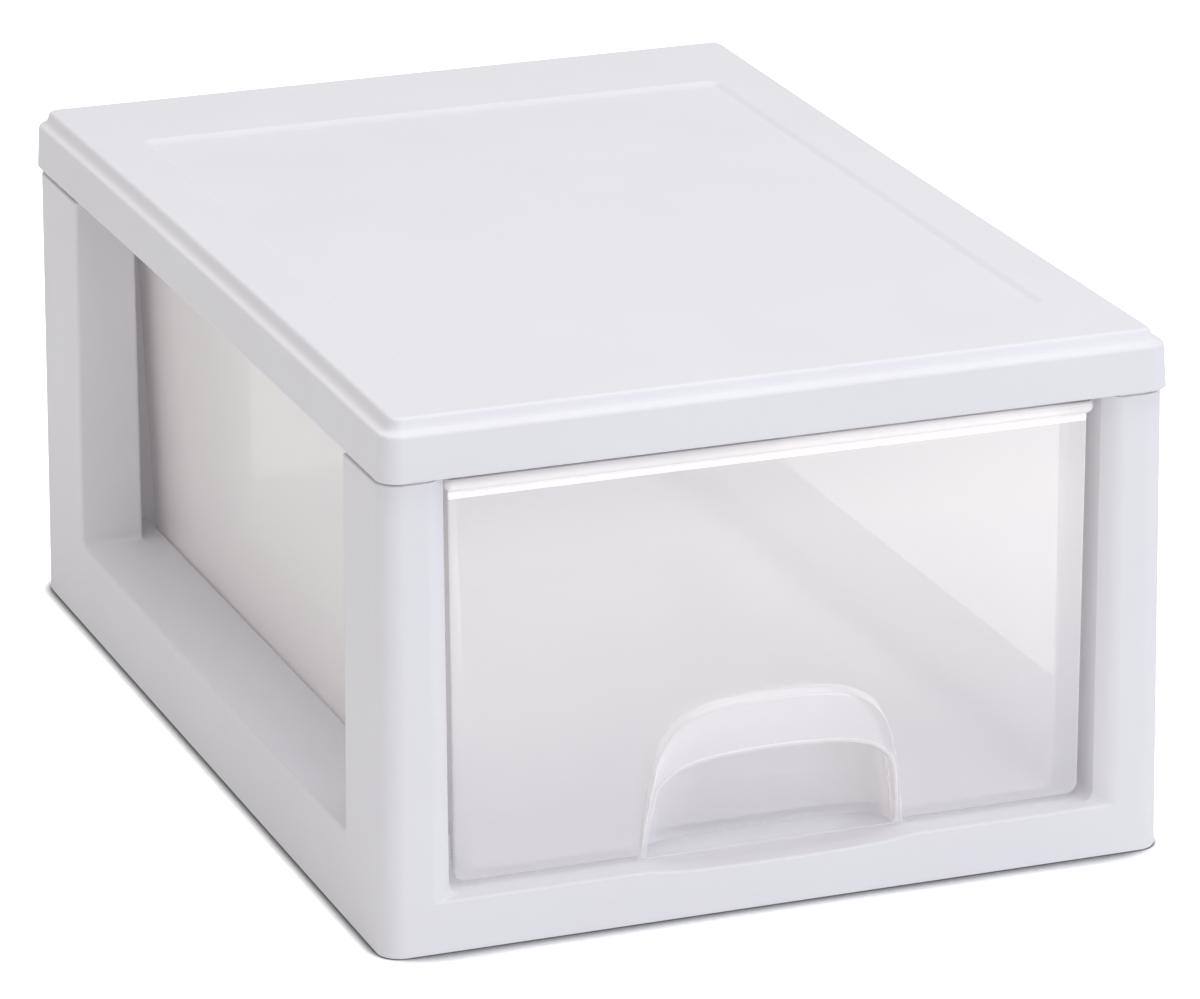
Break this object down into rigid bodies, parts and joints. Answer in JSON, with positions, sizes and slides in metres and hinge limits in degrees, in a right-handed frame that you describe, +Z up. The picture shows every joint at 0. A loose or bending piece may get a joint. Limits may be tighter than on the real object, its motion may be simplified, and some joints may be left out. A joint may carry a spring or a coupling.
{
  "type": "stackable drawer box",
  "caption": "Stackable drawer box for small parts and papers: white open frame with a clip-on stacking lid, and a clear drawer with an arched finger pull.",
  "frame": {"origin": "centre of the foot, at the level of the surface it stands on", "axes": "X to the right, Y to the back away from the drawer's front panel, Z up"},
  "size_m": [0.258, 0.3722, 0.1708],
  "materials": {
    "white_plastic": "satin white moulded polypropylene",
    "clear_plastic": "clear, slightly frosted moulded polypropylene"
  },
  "bodies": {
    "frame": {"frame": "white_plastic", "lid": "white_plastic"},
    "drawer": {"drawer": "clear_plastic"}
  },
  "joints": [
    {"name": "drawer_slide", "type": "slide", "parent": "frame", "child": "drawer", "axis": [0, -1, 0], "range_m": [0, 0.3]}
  ]
}
